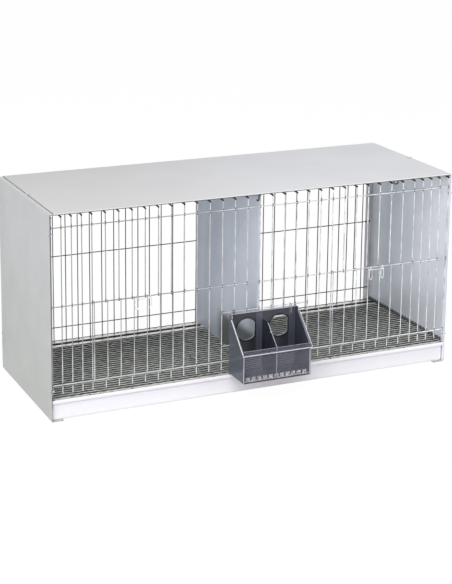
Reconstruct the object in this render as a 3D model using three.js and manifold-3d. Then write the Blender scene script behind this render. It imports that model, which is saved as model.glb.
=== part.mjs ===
// Two-compartment pigeon cage: sheet-steel roof, side panels and divider, welded wire grids,
// two drop-front wire doors with latches, a wire floor over a pull-out tray, and a double feed trough.
// Units are millimetres. X runs left to right, Y front to back and Z up.
// Y is measured from the front edges of the side panels, and the last lines centre the cage on its base.

import * as THREE from 'three';
import { mergeVertices } from 'three/addons/utils/BufferGeometryUtils.js';
import Module from 'manifold-3d';

const wasm = await Module();
wasm.setup();

// Overall size
const cageWidth = 1000;
const cageDepth = 375;
const cageHeight = 470;
const halfWidth = cageWidth / 2;

// Sheet metal
const sheet = 1.2;
const seatGap = 0.3;
const overrun = 1;
const hemDepth = 12;
const hemHeight = 3.2;
const roofLeftInset = 10;
const ledgeWidth = 24;
const footWidth = 28;
const footCorner = 6;
const footCornerSteps = 3;
const backFlangeWidth = 17;
const panelHemDepth = 8;
const panelHemBottom = 60;
const tabWidth = 12;
const tabReach = 8;

// Welded wire grids
const wireSides = 6;
const wireDiameter = 2.4;
const weldSink = 0.4;
const wireTail = 1.5;
const gridInset = 6;
const wideGaps = 26;
const narrowGaps = 4;
const narrowGapShare = 0.75;
const endWireInset = 2.8;
const upperRailDrop = 32;
const midRailHeight = 261;
const lowerRailHeight = 82;
const stubLength = 22;
const topHookRun = 10;
const topHookBend = 2;
const backGridBottom = 40;

// Feed opening in the front grid
const feedFirstWire = 14;
const feedLastWire = 21;
const feedLowerHeight = 118;

// Doors
const doorWireDiameter = 2;
const doorWeldSink = 0.3;
const doorFirstWires = { left: 4, right: 23 };
const doorGaps = 7;
const hingeLoopGap = 0.4;
const doorSideGap = 0.6;
const doorTopRise = 2;
const doorBottomRise = 2.5;
const doorEndOverhang = 3;
const doorEndHook = 4.5;
const doorEndBend = 1;
const loopTurns = 5;
const loopStep = Math.PI / 4;

// Door latches
const latchGap = 3;
const latchWireDiameter = 1.6;
const latchEyeGap = 0.35;
const latchLegOffset = 6;
const latchLegLength = 31;
const latchLegWidth = 7;
const latchBarDrop = 6;
const latchSink = 0.4;
const eyeSteps = 10;
const latchSides = 5;

// Clip rings
const ringDiameter = 1.8;
const ringCorner = 0.8;
const ringSides = 5;
const ringHoleDiameter = 4;
const ringHoleSides = 8;
const ringHoleInset = 9.5;
const ringInnerReach = 2.5;
const ringFlangeReach = 8;
const frontUpperRingDrop = 46;
const frontLowerRingHeight = 71;
const backUpperRingDrop = 53;
const backLowerRingHeight = 88;
const backRingPairDrop = 21;

// Roof hooks
const roofHookDiameter = 2;
const roofHookForward = 1;
const roofHookCorner = 2;
const centreHook = { wire: 17, offset: -8.5, width: 5, drop: 14, rise: 4 };
const rightHook = { wire: 28, offset: 8, width: 11.5, drop: 8, rise: 8 };

// Divider
const dividerFrontGap = 1;
const dividerFloorGap = 1;
const dividerFlange = 14;
const dividerHemDepth = 8;

// Tray
const trayFront = 3;
const traySideGap = 1;
const trayWall = 2.5;
const trayTop = 47.5;
const trayLipHeight = 8;
const trayFaceRecess = 3;
const trayBackGap = 1;

// Wire floor
const floorCrossDiameter = 2.2;
const floorLongDiameter = 1.8;
const floorLongSides = 4;
const floorFrontInset = 2;
const floorBackInset = 1.4;
const floorTail = 1.8;
const floorGaps = 28;
const floorSideInset = 2.3;
const floorCrossWires = 9;
const floorCrossOffset = 10;
const floorEndInset = 3;

// Feed trough
const feederOffset = 8.5;
const feederWidth = 169;
const feederHeight = 142;
const feederDepth = 80;
const feederBottom = 52.5;
const feederWall = 2;
const feederGridGap = 0.6;
const feederFrontHeight = 76;
const feederRidgeHeight = 68;
const feederSlantStart = 14.5;
const feederSlantDrop = 10;
const feederRidge = 3;
const feederSideRidge = 4;
const feederHoleRadius = 25.5;
const feederHoleFlat = 20;
const feederHoleSteps = 16;
const feederHoleHeight = 100;
const feederHoleSpacing = 83.4;
const feederRibs = 11;
const feederRibSpacing = 14.2;
const feederRibWidth = 10;
const feederRibHeight = 11;
const feederRibDepth = 2;
const feederRibBase = 2;
const feederRibBaseDepth = 5;
const partitionOffset = 1;
const partitionDrop = 23;
const partitionSlantStart = 30;
const partitionKnobRadius = 2.5;
const partitionKnobShare = 0.36;
const partitionKnobSteps = 8;
const feedUpperRise = 3;
const feederHookDiameter = 2;
const feederHookGap = 0.4;
const feederHookDrop = 20;
const feederHookOffsets = { left: -75, right: 71 };
const feederHookLatch = 9;
const feederHookBend = 1.5;

// Materials
const material = (color, roughness, metalness) => new THREE.MeshStandardMaterial({ color, roughness, metalness });
const roofPaint = material(0xd4d2d1, 0.55, 0.1);
const panelSteel = material(0xc3c6c6, 0.5, 0.3);
const galvanised = material(0xa3abb5, 0.4, 0.6);
const wireSteel = material(0xb9bbbf, 0.3, 0.9);
const floorSteel = material(0x7c7f78, 0.45, 0.7);
const trayPlastic = material(0xf3f2f6, 0.4, 0);
const smokePlastic = material(0x4a4e5c, 0.2, 0);
const clearPlastic = material(0x7d8292, 0.15, 0);

// Heights and depths that several pieces share
const flangeTop = cageHeight - sheet - seatGap;
const hemBottom = cageHeight - hemHeight;
const roofRightInset = sheet + seatGap;
const panelInner = halfWidth - sheet;
const gridWireRadius = wireDiameter / 2;
const railOffset = wireDiameter - weldSink;
const frontRailY = gridInset - railOffset;
const backRailY = cageDepth - sheet - seatGap - gridWireRadius;
const backWireY = backRailY - railOffset;
const upperRailHeight = cageHeight - upperRailDrop;
const stubBottom = lowerRailHeight - stubLength;
const hookHeight = hemBottom - seatGap - gridWireRadius;
const feederTop = feederBottom + feederHeight;
const feedUpperHeight = feederTop + feedUpperRise;
const frontRingHeights = { upper: cageHeight - frontUpperRingDrop, lower: frontLowerRingHeight };
const backRingHeights = { upper: cageHeight - backUpperRingDrop, lower: backLowerRingHeight };

// Solids from three.js geometries
function solid(geometry) {
  geometry.deleteAttribute('normal');
  geometry.deleteAttribute('uv');
  const merged = mergeVertices(geometry);
  const vertProperties = new Float32Array(merged.attributes.position.array);
  const triVerts = new Uint32Array(merged.index.array);
  return new wasm.Manifold(new wasm.Mesh({ numProp: 3, vertProperties, triVerts }));
}

function join(solids) {
  return solids.reduce((whole, next) => whole.add(next));
}

function block(x0, x1, y0, y1, z0, z1) {
  const geometry = new THREE.BoxGeometry(x1 - x0, y1 - y0, z1 - z0);
  geometry.translate((x0 + x1) / 2, (y0 + y1) / 2, (z0 + z1) / 2);
  return solid(geometry);
}

// A plate standing across X, from an outline in Y and Z
function plateAcrossX(outline, x0, x1) {
  const shape = new THREE.Shape(outline.map(([y, z]) => new THREE.Vector2(y, z)));
  const geometry = new THREE.ExtrudeGeometry(shape, { depth: x1 - x0, bevelEnabled: false });
  geometry.rotateX(Math.PI / 2);
  geometry.rotateZ(Math.PI / 2);
  geometry.translate(x0, 0, 0);
  return solid(geometry);
}

// A rod through a wall, along X or Y, as a cutter for a hole
function holeCutter(axis, radius, length, sides, x, y, z) {
  const geometry = new THREE.CylinderGeometry(radius, radius, length, sides);
  if (axis === 'x') geometry.rotateZ(Math.PI / 2);
  geometry.translate(x, y, z);
  return solid(geometry);
}

// A wire's centre line as straight runs between chosen points
class WirePath extends THREE.Curve {
  constructor(points, closed = false) {
    super();
    this.points = points;
    this.closed = closed;
    this.runs = closed ? points.length : points.length - 1;
  }

  at(index) {
    return this.points[(index + this.points.length) % this.points.length];
  }

  getPoint(t, target = new THREE.Vector3()) {
    const place = t * this.runs;
    const index = Math.floor(place);
    return target.lerpVectors(this.at(index), this.at(index + 1), place - index);
  }

  getTangent(t, target = new THREE.Vector3()) {
    const index = Math.round(t * this.runs);
    const ahead = new THREE.Vector3();
    const behind = new THREE.Vector3();
    if (this.closed || index < this.runs) ahead.subVectors(this.at(index + 1), this.at(index)).normalize();
    if (this.closed || index > 0) behind.subVectors(this.at(index), this.at(index - 1)).normalize();
    return target.addVectors(ahead, behind).normalize();
  }

  getUtoTmapping(u) {
    return u;
  }
}

function wireSection(radius, sides, turn) {
  const corners = Array.from({ length: sides }, (_, k) => turn + (2 * Math.PI * k) / sides);
  return new THREE.Shape(corners.map((a) => new THREE.Vector2(radius * Math.cos(a), radius * Math.sin(a))));
}

function wire(points, diameter, sides = wireSides, turn = 0) {
  const path = new WirePath(points.map((p) => new THREE.Vector3(...p)));
  const options = { steps: path.runs, extrudePath: path, bevelEnabled: false };
  return solid(new THREE.ExtrudeGeometry(wireSection(diameter / 2, sides, turn), options));
}

function ring(points, diameter, sides) {
  const path = new WirePath(points.map((p) => new THREE.Vector3(...p)), true);
  return solid(new THREE.TubeGeometry(path, path.runs, diameter / 2, sides, true));
}

const cage = new THREE.Group();

function place(name, whole, look) {
  const mesh = whole.getMesh();
  const geometry = new THREE.BufferGeometry();
  geometry.setAttribute('position', new THREE.BufferAttribute(mesh.vertProperties, mesh.numProp));
  geometry.setIndex(new THREE.BufferAttribute(mesh.triVerts, 1));
  geometry.computeVertexNormals();
  const node = new THREE.Mesh(geometry, look);
  node.name = name;
  cage.add(node);
}

// Grid layout: wide gaps in the middle, narrow ones at both ends
const middleWire = wideGaps / 2 + narrowGaps;
const lastWire = 2 * middleWire;
const endWireX = panelInner - endWireInset;
const wireSpacing = endWireX / (wideGaps / 2 + narrowGaps * narrowGapShare);

function wireX(index) {
  const steps = Math.abs(index - middleWire);
  const wide = Math.min(steps, wideGaps / 2);
  return Math.sign(index - middleWire) * wireSpacing * (wide + (steps - wide) * narrowGapShare);
}

const railEnd = endWireX + gridWireRadius;
const railTurn = Math.PI / wireSides;

function rail(x0, x1, y, z, diameter = wireDiameter) {
  return wire([[x0, y, z], [x1, y, z]], diameter, wireSides, railTurn);
}

// Roof: a sheet with a folded hem under its front and back edges
function roof() {
  const left = -halfWidth + roofLeftInset;
  const right = halfWidth - roofRightInset;
  const hemTop = cageHeight - sheet / 2;
  return join([
    block(left, right, 0, cageDepth, cageHeight - sheet, cageHeight),
    block(left, right, 0, hemDepth, hemBottom, hemTop),
    block(left, right, cageDepth - hemDepth, cageDepth, hemBottom, hemTop),
  ]);
}

// Side panel: plate, foot, roof ledge, back flange, front hem and the tab that folds over the roof's edge.
// It is built on the right and mirrored for the left.
function sidePanel(roofInset, backHeights) {
  const roofEdge = halfWidth - roofInset;
  const tabFoot = roofEdge + seatGap;
  const tabMiddle = cageDepth / 2;
  const tabTop = cageHeight + seatGap + sheet;
  const foot = new THREE.Shape();
  foot.moveTo(halfWidth, 0);
  foot.lineTo(halfWidth, cageDepth);
  foot.lineTo(halfWidth - footWidth + footCorner, cageDepth);
  foot.absarc(halfWidth - footWidth + footCorner, cageDepth - footCorner, footCorner, Math.PI / 2, Math.PI, false);
  foot.absarc(halfWidth - footWidth + footCorner, footCorner, footCorner, Math.PI, 1.5 * Math.PI, false);
  const whole = join([
    block(panelInner, halfWidth, 0, cageDepth, 0, flangeTop),
    solid(new THREE.ExtrudeGeometry(foot, { depth: sheet, bevelEnabled: false, curveSegments: footCornerSteps })),
    block(tabFoot, halfWidth, 0, cageDepth, flangeTop - sheet, flangeTop),
    block(halfWidth - ledgeWidth, halfWidth, hemDepth + seatGap, cageDepth - hemDepth - seatGap,
      flangeTop - sheet, flangeTop),
    block(halfWidth - backFlangeWidth, halfWidth, cageDepth - sheet, cageDepth, 0, hemBottom - seatGap),
    block(panelInner - sheet, halfWidth, 0, panelHemDepth, panelHemBottom, hemBottom - seatGap),
    block(tabFoot, tabFoot + sheet, tabMiddle - tabWidth / 2, tabMiddle + tabWidth / 2, flangeTop - sheet, tabTop),
    block(roofEdge - tabReach, tabFoot + sheet, tabMiddle - tabWidth / 2, tabMiddle + tabWidth / 2,
      cageHeight + seatGap, tabTop),
  ]);
  const radius = ringHoleDiameter / 2;
  const through = 2 * (sheet + overrun);
  const sideHole = (y, z) => holeCutter('x', radius, through, ringHoleSides, panelInner, y, z);
  const flangeHole = (z) => holeCutter('y', radius, through, ringHoleSides, halfWidth - ringFlangeReach,
    cageDepth - sheet, z);
  const holes = [
    ...Object.values(frontRingHeights).map((z) => sideHole(ringHoleInset, z)),
    ...backHeights.map((z) => sideHole(cageDepth - ringHoleInset, z)),
    ...backHeights.map((z) => flangeHole(z)),
  ];
  return holes.reduce((panel, hole) => panel.subtract(hole), whole);
}

// Divider: plate with a front hem and a top flange under the roof, notched clear of the grid's top hooks
function divider() {
  const half = sheet / 2;
  const front = gridInset + gridWireRadius + dividerFrontGap;
  const back = backWireY - gridWireRadius - dividerFrontGap;
  const notchBack = gridInset + topHookRun + dividerFrontGap;
  const notchBottom = hookHeight - gridWireRadius - dividerFrontGap;
  const hemNotch = cageDepth - hemDepth - seatGap;
  const outline = [
    [front, dividerBottom], [back, dividerBottom], [back, hemBottom - seatGap], [hemNotch, hemBottom - seatGap],
    [hemNotch, flangeTop], [notchBack, flangeTop], [notchBack, notchBottom], [front, notchBottom],
  ];
  return join([
    plateAcrossX(outline, -half, half),
    block(-sheet, sheet, front, front + dividerHemDepth, dividerBottom, notchBottom),
    block(-half, dividerFlange, notchBack, hemNotch, flangeTop - sheet, flangeTop),
  ]);
}

// Front grid: upright wires with hooked tops, three rails, two doorways and a feed opening
const isBetween = (index, first, last) => index > first && index < last;

function hookedWire(x, bottom) {
  const bendY = gridInset + topHookBend;
  const bendZ = hookHeight - topHookBend;
  const points = [[x, gridInset, bottom], [x, gridInset, bendZ], [x, bendY, hookHeight]];
  return wire([...points, [x, gridInset + topHookRun, hookHeight]], wireDiameter);
}

function straightWire(x, y, bottom, top, diameter = wireDiameter) {
  return wire([[x, y, bottom], [x, y, top]], diameter);
}

function frontGrid() {
  const solids = [];
  for (let index = 0; index <= lastWire; index += 1) {
    const x = wireX(index);
    const inDoor = Object.values(doorFirstWires).some((first) => isBetween(index, first, first + doorGaps));
    const inFeed = isBetween(index, feedFirstWire, feedLastWire);
    if (inDoor) {
      solids.push(straightWire(x, gridInset, stubBottom, lowerRailHeight + wireTail));
      solids.push(hookedWire(x, midRailHeight - wireTail));
    } else if (inFeed) {
      solids.push(straightWire(x, gridInset, stubBottom, feedLowerHeight + wireTail));
      solids.push(hookedWire(x, feedUpperHeight - wireTail));
    } else {
      solids.push(hookedWire(x, stubBottom));
    }
  }
  const feedLeft = wireX(feedFirstWire) - wireTail;
  const feedRight = wireX(feedLastWire) + wireTail;
  return join([
    rail(-railEnd, railEnd, frontRailY, lowerRailHeight),
    ...solids,
    rail(-railEnd, railEnd, frontRailY, midRailHeight),
    rail(-railEnd, railEnd, frontRailY, upperRailHeight),
    rail(feedLeft, feedRight, frontRailY, feedLowerHeight),
    rail(feedLeft, feedRight, frontRailY, feedUpperHeight),
  ]);
}

// Back grid: the same upright wires, straight and unbroken, with three rails behind them
function backGrid() {
  const top = hemBottom - seatGap;
  const uprights = Array.from({ length: lastWire + 1 }, (_, index) => (
    straightWire(wireX(index), backWireY, backGridBottom, top)
  ));
  const heights = [lowerRailHeight, midRailHeight, upperRailHeight];
  const rails = heights.map((z) => rail(-railEnd, railEnd, backRailY, z));
  return join([...rails, ...uprights]);
}

// Doors: upright wires that loop round the lower rail, with a top wire over the middle rail
const doorLoopRadius = gridWireRadius + hingeLoopGap + doorWireDiameter / 2;
const doorY = frontRailY - doorLoopRadius;
const doorBarY = doorY - doorWireDiameter + doorWeldSink;
const doorShift = gridWireRadius + doorWireDiameter / 2 + doorSideGap;
const doorTop = midRailHeight + doorTopRise;

function doorWireX(first, k) {
  return wireX(first + k) + (k < doorGaps ? doorShift : -doorShift);
}

function doorUpright(x) {
  const points = [[x, doorY, doorTop + wireTail]];
  for (let k = 0; k <= loopTurns; k += 1) {
    const angle = Math.PI + k * loopStep;
    const y = frontRailY + doorLoopRadius * Math.cos(angle);
    points.push([x, y, lowerRailHeight + doorLoopRadius * Math.sin(angle)]);
  }
  return wire(points, doorWireDiameter);
}

function door(first) {
  const left = doorWireX(first, 0) - doorEndOverhang;
  const right = doorWireX(first, doorGaps) + doorEndOverhang;
  const uprights = Array.from({ length: doorGaps + 1 }, (_, k) => doorUpright(doorWireX(first, k)));
  const topBar = wire([
    [left, doorBarY, doorTop + doorEndHook], [left, doorBarY, doorTop + doorEndBend],
    [left + doorEndBend, doorBarY, doorTop], [right - doorEndBend, doorBarY, doorTop],
    [right, doorBarY, doorTop + doorEndBend], [right, doorBarY, doorTop + doorEndHook],
  ], doorWireDiameter, wireSides, railTurn);
  const bottomBar = rail(left, right, doorBarY, lowerRailHeight + doorBottomRise, doorWireDiameter);
  return join([topBar, ...uprights, bottomBar]);
}

// Latches: two narrow wire loops that hang from eyes round the door's top wire, joined by a short bar
const latchRadius = latchWireDiameter / 2;
const eyeRadius = doorWireDiameter / 2 + latchEyeGap + latchRadius;

function latchEye(x) {
  const points = Array.from({ length: eyeSteps }, (_, k) => {
    const angle = (2 * Math.PI * k) / eyeSteps;
    return [x, doorBarY + eyeRadius * Math.cos(angle), doorTop + eyeRadius * Math.sin(angle)];
  });
  return ring(points, latchWireDiameter, latchSides);
}

function latchLeg(x) {
  const top = doorTop - eyeRadius - latchWireDiameter + latchSink;
  const bottom = doorTop - latchLegLength;
  const half = latchLegWidth / 2;
  const corner = half / 2;
  const points = [
    [x - corner, doorBarY, top], [x - half, doorBarY, top - corner],
    [x - half, doorBarY, bottom + half], [x - corner, doorBarY, bottom + corner / 2],
    [x, doorBarY, bottom], [x + corner, doorBarY, bottom + corner / 2],
    [x + half, doorBarY, bottom + half], [x + half, doorBarY, top - corner], [x + corner, doorBarY, top],
  ];
  return ring(points, latchWireDiameter, latchSides);
}

function latch(first) {
  const legs = [latchGap, latchGap + 1].map((k) => doorWireX(first, k) + latchLegOffset);
  const barZ = doorTop - latchBarDrop;
  const barY = doorBarY - latchWireDiameter + latchSink;
  const half = latchLegWidth / 2;
  const bar = rail(legs[0] - half, legs[1] + half, barY, barZ, latchWireDiameter);
  return join([...legs.map(latchLeg), ...legs.map(latchEye), bar]);
}

// Clip rings: closed wire rings that bind a grid's end wire to the panel through a hole beside it
const ringOut = seatGap + ringDiameter / 2;
const ringSideX = halfWidth + ringOut;

function clipRing(innerX, y0, y1, z) {
  const points = [
    [ringSideX, y0 + ringCorner, z], [ringSideX, y1 - ringCorner, z],
    [ringSideX - ringCorner, y1, z], [innerX + ringCorner, y1, z],
    [innerX, y1 - ringCorner, z], [innerX, y0 + ringCorner, z],
    [innerX + ringCorner, y0, z], [ringSideX - ringCorner, y0, z],
  ];
  return ring(points, ringDiameter, ringSides);
}

function frontRing(z) {
  return clipRing(endWireX - ringInnerReach, -ringOut, ringHoleInset, z);
}

function backRing(z) {
  return clipRing(halfWidth - ringFlangeReach, cageDepth - ringHoleInset, cageDepth + ringOut, z);
}

// Roof hooks: bent wires that hang from the roof's front hem beside an upright wire
function roofHook({ wire: index, offset, width, drop, rise }) {
  const radius = roofHookDiameter / 2;
  const top = hemBottom - seatGap;
  const y = roofHookForward + radius;
  const bottom = top - drop;
  const right = wireX(index) + offset + width / 2;
  const left = right - width;
  return wire([
    [right, y, top], [right, y, bottom + roofHookCorner], [right - roofHookCorner, y, bottom],
    [left + roofHookCorner, y, bottom], [left, y, bottom + roofHookCorner], [left, y, bottom + rise],
  ], roofHookDiameter);
}

// Tray: walls all round with a lip along the front, and a bottom plate between them
const trayHalf = panelInner - traySideGap;
const trayBack = backWireY - gridWireRadius - trayBackGap;
const trayBottom = sheet + seatGap;

const trayFace = trayFront + trayFaceRecess;
const trayInnerFront = trayFace + trayWall;

function trayWalls() {
  const half = trayHalf - trayWall;
  const whole = join([
    block(-trayHalf, trayHalf, trayFace, trayBack, trayBottom, trayTop),
    block(-trayHalf, trayHalf, trayFront, trayInnerFront, trayTop - trayLipHeight, trayTop),
  ]);
  const mouth = block(-half, half, trayInnerFront, trayBack - trayWall, trayBottom - overrun, trayTop + overrun);
  return whole.subtract(mouth);
}

function trayPlate() {
  const half = trayHalf - trayWall - seatGap;
  const front = trayInnerFront + seatGap;
  return block(-half, half, front, trayBack - trayWall - seatGap, trayBottom, trayBottom + trayWall);
}

// Wire floor: close wires across the cage, welded on wider-spaced wires that run front to back
const floorCrossZ = trayTop + seatGap + floorCrossDiameter / 2;
const floorLongZ = floorCrossZ + floorCrossDiameter / 2 + floorLongDiameter / 2 - weldSink;
const floorTop = floorLongZ + floorLongDiameter / 2;
const dividerBottom = floorTop + dividerFloorGap;

function wireFloor() {
  const half = panelInner - floorSideInset;
  const front = trayFront + floorFrontInset;
  const back = trayBack - floorBackInset;
  const spacing = (back - front - 2 * floorTail) / floorGaps;
  const crossSpacing = cageWidth / (floorCrossWires + 1);
  const crossXs = [-half + floorEndInset, half - floorEndInset];
  for (let k = 1; k <= floorCrossWires; k += 1) crossXs.push(k * crossSpacing - halfWidth - floorCrossOffset);
  const crossWires = crossXs.map((x) => wire([[x, front, floorCrossZ], [x, back, floorCrossZ]], floorCrossDiameter));
  const longWires = Array.from({ length: floorGaps + 1 }, (_, k) => {
    const y = front + floorTail + k * spacing;
    return wire([[-half, y, floorLongZ], [half, y, floorLongZ]], floorLongDiameter, floorLongSides);
  });
  return join([...crossWires, ...longWires]);
}

// Feed trough: a smoke-tinted shell with a sloping open front, a ridge round the opening
// and two round feed holes in its back wall
const feederLeft = feederOffset - feederWidth / 2;
const feederRight = feederOffset + feederWidth / 2;
const feederBack = frontRailY - gridWireRadius - feederGridGap;
const feederFront = feederBack - feederDepth;
const feederSlantY = feederBack - feederSlantStart;
const feederSlantTop = feederTop - feederSlantDrop;
const feederRidgeTop = feederBottom + feederRidgeHeight;
const feederFrontTop = feederBottom + feederFrontHeight;
const partitionX = feederOffset - partitionOffset;

function feedHole(x) {
  const flat = Math.acos(feederHoleFlat / feederHoleRadius);
  const shape = new THREE.Shape();
  shape.absarc(0, 0, feederHoleRadius, flat, 2 * Math.PI - flat, false);
  const depth = feederWall + 2 * overrun;
  const geometry = new THREE.ExtrudeGeometry(shape, { depth, bevelEnabled: false, curveSegments: feederHoleSteps });
  geometry.rotateX(Math.PI / 2);
  geometry.translate(x, feederBack + overrun, feederBottom + feederHoleHeight);
  return solid(geometry);
}

function feederShell() {
  const outline = [
    [feederBack, feederBottom], [feederBack, feederTop], [feederSlantY, feederTop],
    [feederSlantY, feederSlantTop], [feederFront, feederRidgeTop], [feederFront, feederBottom],
  ];
  const ridge = [
    [feederSlantY, feederSlantTop], [feederFront, feederRidgeTop],
    [feederFront, feederRidgeTop - feederRidge], [feederSlantY, feederSlantTop - feederRidge],
  ];
  const hollow = block(feederLeft + feederWall, feederRight - feederWall, feederFront + feederWall,
    feederBack - feederWall, feederBottom + feederWall, feederTop + overrun);
  const ridgeLeft = feederLeft - feederSideRidge;
  const ridgeRight = feederRight + feederSideRidge;
  const added = [
    block(ridgeLeft, ridgeRight, feederFront - feederRidge, feederFront + feederWall,
      feederRidgeTop - feederRidge, feederRidgeTop),
    block(feederLeft, feederRight, feederFront, feederFront + feederWall, feederBottom, feederFrontTop),
    plateAcrossX(ridge, ridgeLeft, feederLeft + feederWall),
    plateAcrossX(ridge, feederRight - feederWall, ridgeRight),
  ];
  const half = feederHoleSpacing / 2;
  return join([plateAcrossX(outline, feederLeft, feederRight).subtract(hollow), ...added])
    .subtract(feedHole(feederOffset - half)).subtract(feedHole(feederOffset + half));
}

const combFront = feederFront + feederWall + seatGap;
const combBack = combFront + feederRibBaseDepth;
const troughFloor = feederBottom + feederWall + seatGap;

// Partition between the two troughs, notched at its foot where the comb runs through
function feederPartition() {
  const half = feederWall / 2;
  const back = feederBack - feederWall - seatGap;
  const top = feederTop - partitionDrop;
  const slantY = feederBack - partitionSlantStart;
  const notchTop = troughFloor + feederRibHeight + seatGap;
  const notchBack = combBack + seatGap;
  const outline = [
    [back, troughFloor], [back, top], [slantY, top], [combFront, feederFrontTop],
    [combFront, notchTop], [notchBack, notchTop], [notchBack, troughFloor],
  ];
  const knobY = slantY + (combFront - slantY) * partitionKnobShare;
  const knobZ = top + (feederFrontTop - top) * partitionKnobShare;
  const knob = new THREE.SphereGeometry(partitionKnobRadius, partitionKnobSteps, partitionKnobSteps);
  knob.translate(partitionX, knobY, knobZ);
  return plateAcrossX(outline, partitionX - half, partitionX + half).add(solid(knob));
}

// Comb: a row of square ribs along the bottom of the front wall
function feederComb() {
  const start = partitionX - (feederRibs - 1) * feederRibSpacing / 2;
  const bars = Array.from({ length: feederRibs }, (_, k) => {
    const x = start + k * feederRibSpacing;
    return block(x - feederRibWidth / 2, x + feederRibWidth / 2, combFront, combFront + feederRibDepth,
      troughFloor, troughFloor + feederRibHeight);
  });
  const left = feederLeft + feederWall + seatGap;
  const right = feederRight - feederWall - seatGap;
  return join([block(left, right, combFront, combBack, troughFloor, troughFloor + feederRibBase), ...bars]);
}

// Feeder hooks: wires that run up inside the back wall and over the feed opening's top wire
function feederHook(x) {
  const radius = feederHookDiameter / 2;
  const innerY = feederBack - feederWall - seatGap - radius;
  const outerY = frontRailY + gridWireRadius + feederHookGap + radius;
  const top = feedUpperHeight + gridWireRadius + feederHookGap + radius;
  return wire([
    [x, innerY, feederTop - feederHookDrop], [x, innerY, top - feederHookBend],
    [x, innerY + feederHookBend, top], [x, outerY - feederHookBend, top],
    [x, outerY, top - feederHookBend], [x, outerY, top - feederHookLatch],
  ], feederHookDiameter);
}

// Assembly
const mirrored = (whole) => whole.mirror([1, 0, 0]);
const leftBackRings = {
  upper: backRingHeights.upper,
  upper_second: backRingHeights.upper - backRingPairDrop,
  lower: backRingHeights.lower,
  lower_second: backRingHeights.lower - backRingPairDrop,
};
const rightBackRings = backRingHeights;

place('roof_panel', roof(), roofPaint);
place('left_side_panel', mirrored(sidePanel(roofLeftInset, Object.values(leftBackRings))), panelSteel);
place('right_side_panel', sidePanel(roofRightInset, Object.values(rightBackRings)), panelSteel);
place('divider_panel', divider(), galvanised);
place('front_grid', frontGrid(), wireSteel);
place('back_grid', backGrid(), wireSteel);
for (const [side, first] of Object.entries(doorFirstWires)) {
  place(`${side}_door`, door(first), wireSteel);
  place(`${side}_latch`, latch(first), wireSteel);
}
for (const [level, z] of Object.entries(frontRingHeights)) {
  place(`front_left_${level}_ring`, mirrored(frontRing(z)), wireSteel);
  place(`front_right_${level}_ring`, frontRing(z), wireSteel);
}
for (const [level, z] of Object.entries(leftBackRings)) {
  place(`back_left_${level}_ring`, mirrored(backRing(z)), wireSteel);
}
for (const [level, z] of Object.entries(rightBackRings)) {
  place(`back_right_${level}_ring`, backRing(z), wireSteel);
}
place('centre_roof_hook', roofHook(centreHook), wireSteel);
place('right_roof_hook', roofHook(rightHook), wireSteel);
place('tray_walls', trayWalls(), trayPlastic);
place('tray_bottom', trayPlate(), trayPlastic);
place('wire_floor', wireFloor(), floorSteel);
place('feeder_shell', feederShell(), smokePlastic);
place('feeder_partition', feederPartition(), smokePlastic);
place('feeder_comb', feederComb(), clearPlastic);
for (const [side, offset] of Object.entries(feederHookOffsets)) {
  place(`feeder_${side}_hook`, feederHook(feederOffset + offset), wireSteel);
}

// The origin is the middle of the whole outline's base: the trough reaches forward, the rings stand out behind
const frontReach = feederFront - feederRidge;
const backReach = cageDepth + ringOut + ringDiameter / 2;
cage.position.y = -(frontReach + backReach) / 2;

export default cage;
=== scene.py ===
"""Pigeon cage: looks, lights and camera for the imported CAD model.

Shapes are in millimetres, with Y running back from the front edges of the side panels. place() turns them
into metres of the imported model, which the materials' coordinates are in.
"""

import math
import random

import bmesh
import bpy
from mathutils import Matrix, Vector

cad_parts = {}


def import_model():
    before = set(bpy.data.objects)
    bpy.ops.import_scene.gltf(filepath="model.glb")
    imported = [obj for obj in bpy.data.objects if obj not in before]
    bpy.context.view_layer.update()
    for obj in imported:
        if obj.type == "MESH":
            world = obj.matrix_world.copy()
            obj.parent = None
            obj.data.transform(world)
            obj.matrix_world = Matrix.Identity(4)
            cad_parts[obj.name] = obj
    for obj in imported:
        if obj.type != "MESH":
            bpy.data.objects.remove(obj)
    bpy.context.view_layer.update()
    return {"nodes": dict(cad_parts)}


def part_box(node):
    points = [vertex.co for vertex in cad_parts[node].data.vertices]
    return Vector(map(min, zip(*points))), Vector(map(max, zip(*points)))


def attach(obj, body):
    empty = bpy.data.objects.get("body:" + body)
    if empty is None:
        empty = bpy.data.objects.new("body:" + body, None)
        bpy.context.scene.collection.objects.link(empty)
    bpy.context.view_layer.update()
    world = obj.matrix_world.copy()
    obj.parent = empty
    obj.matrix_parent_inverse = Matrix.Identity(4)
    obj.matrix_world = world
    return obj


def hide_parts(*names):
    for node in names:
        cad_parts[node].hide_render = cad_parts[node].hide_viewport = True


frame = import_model()

MM = 0.001
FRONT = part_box("roof_panel")[0].y
chance = random.Random(7)


def place(x, y, z):
    return Vector((x * MM, FRONT + y * MM, z * MM))


def span(node):
    """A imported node's lowest and highest corners, in those millimetres."""
    low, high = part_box(node)
    return (low.x / MM, (low.y - FRONT) / MM, low.z / MM), (high.x / MM, (high.y - FRONT) / MM, high.z / MM)


ROOF_LOW, ROOF_HIGH = span("roof_panel")
GRID_LOW, GRID_HIGH = span("front_grid")
BACK_LOW, BACK_HIGH = span("back_grid")
TRAY_LOW, TRAY_HIGH = span("tray_walls")
FLOOR_LOW, FLOOR_HIGH = span("wire_floor")
SHELL_LOW, SHELL_HIGH = span("feeder_shell")
PARTITION_LOW, PARTITION_HIGH = span("feeder_partition")

# Wires
WIRE = 1.2
WIRE_END_RADIUS = 1.95
DOOR_WIRE = 1.0
LATCH_WIRE = 0.8
RING_WIRE = 0.9
HOOK_WIRE = 1.0
ROOF_HOOK_WIRE = 1.4
TAIL = 1.5
TIP_RADIUS = 0.6
TIP_LENGTH = 0.45

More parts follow.
